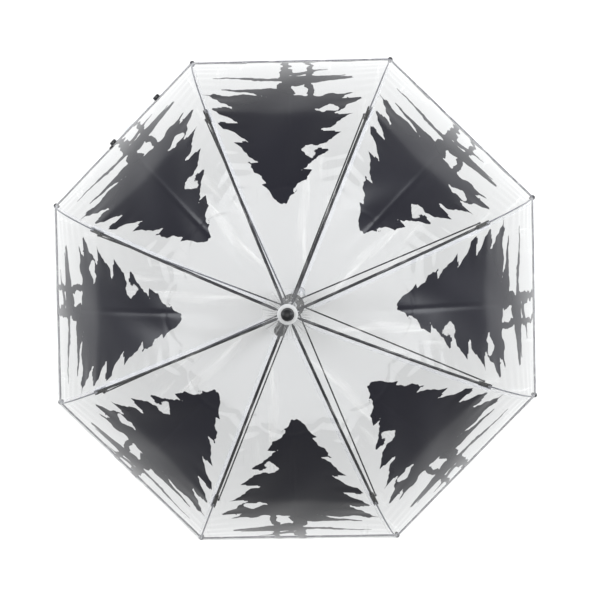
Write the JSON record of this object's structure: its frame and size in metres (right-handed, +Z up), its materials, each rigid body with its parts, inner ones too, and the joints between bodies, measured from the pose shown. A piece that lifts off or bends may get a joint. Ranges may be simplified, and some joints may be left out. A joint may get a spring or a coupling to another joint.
{
  "type": "dome umbrella",
  "caption": "Clear dome umbrella with a jointed rib frame, sliding runner, welded film canopy with a printed woodland border, closing strap and crook handle.",
  "frame": {"origin": "middle of the straight hand grip, on the shaft's axis", "axes": "+Z up the shaft towards the ferrule; +X through the middle of a canopy panel"},
  "size_m": [0.749, 0.749, 0.8675],
  "materials": {
    "black_plastic": "satin",
    "clear_plastic": "gloss",
    "dark_steel": "satin",
    "pale_steel": "satin",
    "film": "gloss"
  },
  "bodies": {
    "frame": {"shaft": "pale_steel", "crown_notch": "black_plastic", "canopy_washer": "clear_plastic", "ferrule": "black_plastic", "stop_ring": "pale_steel", "handle_collar": "pale_steel", "handle": "black_plastic"},
    "runner": {"runner": "black_plastic"},
    "top_catch": {"top_catch": "pale_steel"},
    "bottom_catch": {"bottom_catch": "pale_steel"},
    "strap": {"strap": "film", "strap_snap": "black_plastic"},
    "rib_upper_1": {"rib_upper_1": "dark_steel", "connector_1": "black_plastic"},
    "rib_lower_1": {"rib_lower_1": "pale_steel"},
    "stretcher_1": {"stretcher_1": "dark_steel"},
    "canopy_upper_1": {"canopy_upper_1": "film"},
    "canopy_lower_1": {"canopy_lower_1": "film"},
    "rib_upper_2": {"rib_upper_2": "dark_steel", "connector_2": "black_plastic"},
    "rib_lower_2": {"rib_lower_2": "pale_steel"},
    "stretcher_2": {"stretcher_2": "dark_steel"},
    "canopy_upper_2": {"canopy_upper_2": "film"},
    "canopy_lower_2": {"canopy_lower_2": "film"},
    "rib_upper_3": {"rib_upper_3": "dark_steel", "connector_3": "black_plastic"},
    "rib_lower_3": {"rib_lower_3": "pale_steel"},
    "stretcher_3": {"stretcher_3": "dark_steel"},
    "canopy_upper_3": {"canopy_upper_3": "film"},
    "canopy_lower_3": {"canopy_lower_3": "film"},
    "rib_upper_4": {"rib_upper_4": "dark_steel", "connector_4": "black_plastic"},
    "rib_lower_4": {"rib_lower_4": "pale_steel"},
    "stretcher_4": {"stretcher_4": "dark_steel"},
    "canopy_upper_4": {"canopy_upper_4": "film"},
    "canopy_lower_4": {"canopy_lower_4": "film"},
    "rib_upper_5": {"rib_upper_5": "dark_steel", "connector_5": "black_plastic"},
    "rib_lower_5": {"rib_lower_5": "pale_steel"},
    "stretcher_5": {"stretcher_5": "dark_steel"},
    "canopy_upper_5": {"canopy_upper_5": "film"},
    "canopy_lower_5": {"canopy_lower_5": "film"},
    "rib_upper_6": {"rib_upper_6": "dark_steel", "connector_6": "black_plastic"},
    "rib_lower_6": {"rib_lower_6": "pale_steel"},
    "stretcher_6": {"stretcher_6": "dark_steel"},
    "canopy_upper_6": {"canopy_upper_6": "film"},
    "canopy_lower_6": {"canopy_lower_6": "film"},
    "rib_upper_7": {"rib_upper_7": "dark_steel", "connector_7": "black_plastic"},
    "rib_lower_7": {"rib_lower_7": "pale_steel"},
    "stretcher_7": {"stretcher_7": "dark_steel"},
    "canopy_upper_7": {"canopy_upper_7": "film"},
    "canopy_lower_7": {"canopy_lower_7": "film"},
    "rib_upper_8": {"rib_upper_8": "dark_steel", "connector_8": "black_plastic"},
    "rib_lower_8": {"rib_lower_8": "pale_steel"},
    "stretcher_8": {"stretcher_8": "dark_steel"},
    "canopy_upper_8": {"canopy_upper_8": "film"},
    "canopy_lower_8": {"canopy_lower_8": "film"}
  },
  "joints": [
    {"name": "runner_slide", "type": "slide", "parent": "frame", "child": "runner", "axis": [0, 0, -1], "range_m": [0, 0.3663]},
    {"name": "rib_swing_1", "type": "hinge", "parent": "frame", "child": "rib_upper_1", "pos_m": [0.00831, 0.00344, 0.7435], "axis": [-0.3827, 0.9239, 0], "range_deg": [0, 56.8]},
    {"name": "rib_knee_1", "type": "hinge", "parent": "rib_upper_1", "child": "rib_lower_1", "pos_m": [0.27901, 0.11557, 0.5695], "axis": [0.3827, -0.9239, 0], "range_deg": [0, 35.56]},
    {"name": "stretcher_swing_1", "type": "hinge", "parent": "runner", "child": "stretcher_1", "pos_m": [0.01121, 0.00951, 0.4915], "axis": [0.3827, -0.9239, 0], "range_deg": [0, 71.68]},
    {"name": "canopy_fold_1", "type": "hinge", "parent": "frame", "child": "canopy_upper_1", "pos_m": [0.00588, 0.00588, 0.7435], "axis": [-0.7071, 0.7071, 0], "range_deg": [0, 54.87], "deforming": ["canopy_upper_1"]},
    {"name": "canopy_drop_1", "type": "hinge", "parent": "canopy_upper_1", "child": "canopy_lower_1", "pos_m": [0.19956, 0.19956, 0.57252], "axis": [0.7071, -0.7071, 0], "range_deg": [0, 35.11], "deforming": ["canopy_lower_1"]},
    {"name": "rib_swing_2", "type": "hinge", "parent": "frame", "child": "rib_upper_2", "pos_m": [0.00344, 0.00831, 0.7435], "axis": [-0.9239, 0.3827, 0], "range_deg": [0, 56.8]},
    {"name": "rib_knee_2", "type": "hinge", "parent": "rib_upper_2", "child": "rib_lower_2", "pos_m": [0.11557, 0.27901, 0.5695], "axis": [0.9239, -0.3827, 0], "range_deg": [0, 35.56]},
    {"name": "stretcher_swing_2", "type": "hinge", "parent": "runner", "child": "stretcher_2", "pos_m": [0.0012, 0.01466, 0.4915], "axis": [0.9239, -0.3827, 0], "range_deg": [0, 71.68]},
    {"name": "canopy_fold_2", "type": "hinge", "parent": "frame", "child": "canopy_upper_2", "pos_m": [0, 0.00831, 0.7435], "axis": [-1, 0, 0], "range_deg": [0, 54.87], "deforming": ["canopy_upper_2"]},
    {"name": "canopy_drop_2", "type": "hinge", "parent": "canopy_upper_2", "child": "canopy_lower_2", "pos_m": [0, 0.28222, 0.57252], "axis": [1, 0, 0], "range_deg": [0, 35.11], "deforming": ["canopy_lower_2"]},
    {"name": "rib_swing_3", "type": "hinge", "parent": "frame", "child": "rib_upper_3", "pos_m": [-0.00344, 0.00831, 0.7435], "axis": [-0.9239, -0.3827, 0], "range_deg": [0, 56.8]},
    {"name": "rib_knee_3", "type": "hinge", "parent": "rib_upper_3", "child": "rib_lower_3", "pos_m": [-0.11557, 0.27901, 0.5695], "axis": [0.9239, 0.3827, 0], "range_deg": [0, 35.56]},
    {"name": "stretcher_swing_3", "type": "hinge", "parent": "runner", "child": "stretcher_3", "pos_m": [-0.00951, 0.01121, 0.4915], "axis": [0.9239, 0.3827, 0], "range_deg": [0, 71.68]},
    {"name": "canopy_fold_3", "type": "hinge", "parent": "frame", "child": "canopy_upper_3", "pos_m": [-0.00588, 0.00588, 0.7435], "axis": [-0.7071, -0.7071, 0], "range_deg": [0, 54.87], "deforming": ["canopy_upper_3"]},
    {"name": "canopy_drop_3", "type": "hinge", "parent": "canopy_upper_3", "child": "canopy_lower_3", "pos_m": [-0.19956, 0.19956, 0.57252], "axis": [0.7071, 0.7071, 0], "range_deg": [0, 35.11], "deforming": ["canopy_lower_3"]},
    {"name": "rib_swing_4", "type": "hinge", "parent": "frame", "child": "rib_upper_4", "pos_m": [-0.00831, 0.00344, 0.7435], "axis": [-0.3827, -0.9239, 0], "range_deg": [0, 56.8]},
    {"name": "rib_knee_4", "type": "hinge", "parent": "rib_upper_4", "child": "rib_lower_4", "pos_m": [-0.27901, 0.11557, 0.5695], "axis": [0.3827, 0.9239, 0], "range_deg": [0, 35.56]},
    {"name": "stretcher_swing_4", "type": "hinge", "parent": "runner", "child": "stretcher_4", "pos_m": [-0.01466, 0.0012, 0.4915], "axis": [0.3827, 0.9239, 0], "range_deg": [0, 71.68]},
    {"name": "canopy_fold_4", "type": "hinge", "parent": "frame", "child": "canopy_upper_4", "pos_m": [-0.00831, 0, 0.7435], "axis": [0, -1, 0], "range_deg": [0, 54.87], "deforming": ["canopy_upper_4"]},
    {"name": "canopy_drop_4", "type": "hinge", "parent": "canopy_upper_4", "child": "canopy_lower_4", "pos_m": [-0.28222, 0, 0.57252], "axis": [0, 1, 0], "range_deg": [0, 35.11], "deforming": ["canopy_lower_4"]},
    {"name": "rib_swing_5", "type": "hinge", "parent": "frame", "child": "rib_upper_5", "pos_m": [-0.00831, -0.00344, 0.7435], "axis": [0.3827, -0.9239, 0], "range_deg": [0, 56.8]},
    {"name": "rib_knee_5", "type": "hinge", "parent": "rib_upper_5", "child": "rib_lower_5", "pos_m": [-0.27901, -0.11557, 0.5695], "axis": [-0.3827, 0.9239, 0], "range_deg": [0, 35.56]},
    {"name": "stretcher_swing_5", "type": "hinge", "parent": "runner", "child": "stretcher_5", "pos_m": [-0.01121, -0.00951, 0.4915], "axis": [-0.3827, 0.9239, 0], "range_deg": [0, 71.68]},
    {"name": "canopy_fold_5", "type": "hinge", "parent": "frame", "child": "canopy_upper_5", "pos_m": [-0.00588, -0.00588, 0.7435], "axis": [0.7071, -0.7071, 0], "range_deg": [0, 54.87], "deforming": ["canopy_upper_5"]},
    {"name": "canopy_drop_5", "type": "hinge", "parent": "canopy_upper_5", "child": "canopy_lower_5", "pos_m": [-0.19956, -0.19956, 0.57252], "axis": [-0.7071, 0.7071, 0], "range_deg": [0, 35.11], "deforming": ["canopy_lower_5"]},
    {"name": "rib_swing_6", "type": "hinge", "parent": "frame", "child": "rib_upper_6", "pos_m": [-0.00344, -0.00831, 0.7435], "axis": [0.9239, -0.3827, 0], "range_deg": [0, 56.8]},
    {"name": "rib_knee_6", "type": "hinge", "parent": "rib_upper_6", "child": "rib_lower_6", "pos_m": [-0.11557, -0.27901, 0.5695], "axis": [-0.9239, 0.3827, 0], "range_deg": [0, 35.56]},
    {"name": "stretcher_swing_6", "type": "hinge", "parent": "runner", "child": "stretcher_6", "pos_m": [-0.0012, -0.01466, 0.4915], "axis": [-0.9239, 0.3827, 0], "range_deg": [0, 71.68]},
    {"name": "canopy_fold_6", "type": "hinge", "parent": "frame", "child": "canopy_upper_6", "pos_m": [0, -0.00831, 0.7435], "axis": [1, 0, 0], "range_deg": [0, 54.87], "deforming": ["canopy_upper_6"]},
    {"name": "canopy_drop_6", "type": "hinge", "parent": "canopy_upper_6", "child": "canopy_lower_6", "pos_m": [0, -0.28222, 0.57252], "axis": [-1, 0, 0], "range_deg": [0, 35.11], "deforming": ["canopy_lower_6"]},
    {"name": "rib_swing_7", "type": "hinge", "parent": "frame", "child": "rib_upper_7", "pos_m": [0.00344, -0.00831, 0.7435], "axis": [0.9239, 0.3827, 0], "range_deg": [0, 56.8]},
    {"name": "rib_knee_7", "type": "hinge", "parent": "rib_upper_7", "child": "rib_lower_7", "pos_m": [0.11557, -0.27901, 0.5695], "axis": [-0.9239, -0.3827, 0], "range_deg": [0, 35.56]},
    {"name": "stretcher_swing_7", "type": "hinge", "parent": "runner", "child": "stretcher_7", "pos_m": [0.00951, -0.01121, 0.4915], "axis": [-0.9239, -0.3827, 0], "range_deg": [0, 71.68]},
    {"name": "canopy_fold_7", "type": "hinge", "parent": "frame", "child": "canopy_upper_7", "pos_m": [0.00588, -0.00588, 0.7435], "axis": [0.7071, 0.7071, 0], "range_deg": [0, 54.87], "deforming": ["canopy_upper_7"]},
    {"name": "canopy_drop_7", "type": "hinge", "parent": "canopy_upper_7", "child": "canopy_lower_7", "pos_m": [0.19956, -0.19956, 0.57252], "axis": [-0.7071, -0.7071, 0], "range_deg": [0, 35.11], "deforming": ["canopy_lower_7"]},
    {"name": "rib_swing_8", "type": "hinge", "parent": "frame", "child": "rib_upper_8", "pos_m": [0.00831, -0.00344, 0.7435], "axis": [0.3827, 0.9239, 0], "range_deg": [0, 56.8]},
    {"name": "rib_knee_8", "type": "hinge", "parent": "rib_upper_8", "child": "rib_lower_8", "pos_m": [0.27901, -0.11557, 0.5695], "axis": [-0.3827, -0.9239, 0], "range_deg": [0, 35.56]},
    {"name": "stretcher_swing_8", "type": "hinge", "parent": "runner", "child": "stretcher_8", "pos_m": [0.01466, -0.0012, 0.4915], "axis": [-0.3827, -0.9239, 0], "range_deg": [0, 71.68]},
    {"name": "canopy_fold_8", "type": "hinge", "parent": "frame", "child": "canopy_upper_8", "pos_m": [0.00831, 0, 0.7435], "axis": [0, 1, 0], "range_deg": [0, 54.87], "deforming": ["canopy_upper_8"]},
    {"name": "canopy_drop_8", "type": "hinge", "parent": "canopy_upper_8", "child": "canopy_lower_8", "pos_m": [0.28222, 0, 0.57252], "axis": [0, -1, 0], "range_deg": [0, 35.11], "deforming": ["canopy_lower_8"]},
    {"name": "top_catch_press", "type": "hinge", "parent": "frame", "child": "top_catch", "pos_m": [0.00094, 0.00177, 0.4138], "axis": [0.8829, -0.4695, 0], "range_deg": [0, 5.5], "stiffness_Nm_per_rad": 1, "deforming": ["top_catch"]},
    {"name": "bottom_catch_press", "type": "hinge", "parent": "frame", "child": "bottom_catch", "pos_m": [0.00094, 0.00177, 0.12545], "axis": [-0.8829, 0.4695, 0], "range_deg": [0, 5.5], "stiffness_Nm_per_rad": 1, "deforming": ["bottom_catch"]},
    {"name": "strap_swivel", "type": "hinge", "parent": "canopy_lower_3", "child": "strap", "pos_m": [-0.20905, 0.31936, 0.31974], "axis": [0.7041, -0.7041, -0.0929], "range_deg": [0, 75], "deforming": ["strap"]}
  ],
  "couplings": [
    {"joint": "rib_swing_1", "follows": "runner_slide", "rad_per_m": 2.7062},
    {"joint": "rib_knee_1", "follows": "runner_slide", "rad_per_m": 1.6943},
    {"joint": "stretcher_swing_1", "follows": "runner_slide", "rad_per_m": 3.4154},
    {"joint": "canopy_fold_1", "follows": "runner_slide", "rad_per_m": 2.6144},
    {"joint": "canopy_drop_1", "follows": "runner_slide", "rad_per_m": 1.6729},
    {"joint": "rib_swing_2", "follows": "runner_slide", "rad_per_m": 2.7062},
    {"joint": "rib_knee_2", "follows": "runner_slide", "rad_per_m": 1.6943},
    {"joint": "stretcher_swing_2", "follows": "runner_slide", "rad_per_m": 3.4154},
    {"joint": "canopy_fold_2", "follows": "runner_slide", "rad_per_m": 2.6144},
    {"joint": "canopy_drop_2", "follows": "runner_slide", "rad_per_m": 1.6729},
    {"joint": "rib_swing_3", "follows": "runner_slide", "rad_per_m": 2.7062},
    {"joint": "rib_knee_3", "follows": "runner_slide", "rad_per_m": 1.6943},
    {"joint": "stretcher_swing_3", "follows": "runner_slide", "rad_per_m": 3.4154},
    {"joint": "canopy_fold_3", "follows": "runner_slide", "rad_per_m": 2.6144},
    {"joint": "canopy_drop_3", "follows": "runner_slide", "rad_per_m": 1.6729},
    {"joint": "rib_swing_4", "follows": "runner_slide", "rad_per_m": 2.7062},
    {"joint": "rib_knee_4", "follows": "runner_slide", "rad_per_m": 1.6943},
    {"joint": "stretcher_swing_4", "follows": "runner_slide", "rad_per_m": 3.4154},
    {"joint": "canopy_fold_4", "follows": "runner_slide", "rad_per_m": 2.6144},
    {"joint": "canopy_drop_4", "follows": "runner_slide", "rad_per_m": 1.6729},
    {"joint": "rib_swing_5", "follows": "runner_slide", "rad_per_m": 2.7062},
    {"joint": "rib_knee_5", "follows": "runner_slide", "rad_per_m": 1.6943},
    {"joint": "stretcher_swing_5", "follows": "runner_slide", "rad_per_m": 3.4154},
    {"joint": "canopy_fold_5", "follows": "runner_slide", "rad_per_m": 2.6144},
    {"joint": "canopy_drop_5", "follows": "runner_slide", "rad_per_m": 1.6729},
    {"joint": "rib_swing_6", "follows": "runner_slide", "rad_per_m": 2.7062},
    {"joint": "rib_knee_6", "follows": "runner_slide", "rad_per_m": 1.6943},
    {"joint": "stretcher_swing_6", "follows": "runner_slide", "rad_per_m": 3.4154},
    {"joint": "canopy_fold_6", "follows": "runner_slide", "rad_per_m": 2.6144},
    {"joint": "canopy_drop_6", "follows": "runner_slide", "rad_per_m": 1.6729},
    {"joint": "rib_swing_7", "follows": "runner_slide", "rad_per_m": 2.7062},
    {"joint": "rib_knee_7", "follows": "runner_slide", "rad_per_m": 1.6943},
    {"joint": "stretcher_swing_7", "follows": "runner_slide", "rad_per_m": 3.4154},
    {"joint": "canopy_fold_7", "follows": "runner_slide", "rad_per_m": 2.6144},
    {"joint": "canopy_drop_7", "follows": "runner_slide", "rad_per_m": 1.6729},
    {"joint": "rib_swing_8", "follows": "runner_slide", "rad_per_m": 2.7062},
    {"joint": "rib_knee_8", "follows": "runner_slide", "rad_per_m": 1.6943},
    {"joint": "stretcher_swing_8", "follows": "runner_slide", "rad_per_m": 3.4154},
    {"joint": "canopy_fold_8", "follows": "runner_slide", "rad_per_m": 2.6144},
    {"joint": "canopy_drop_8", "follows": "runner_slide", "rad_per_m": 1.6729}
  ]
}
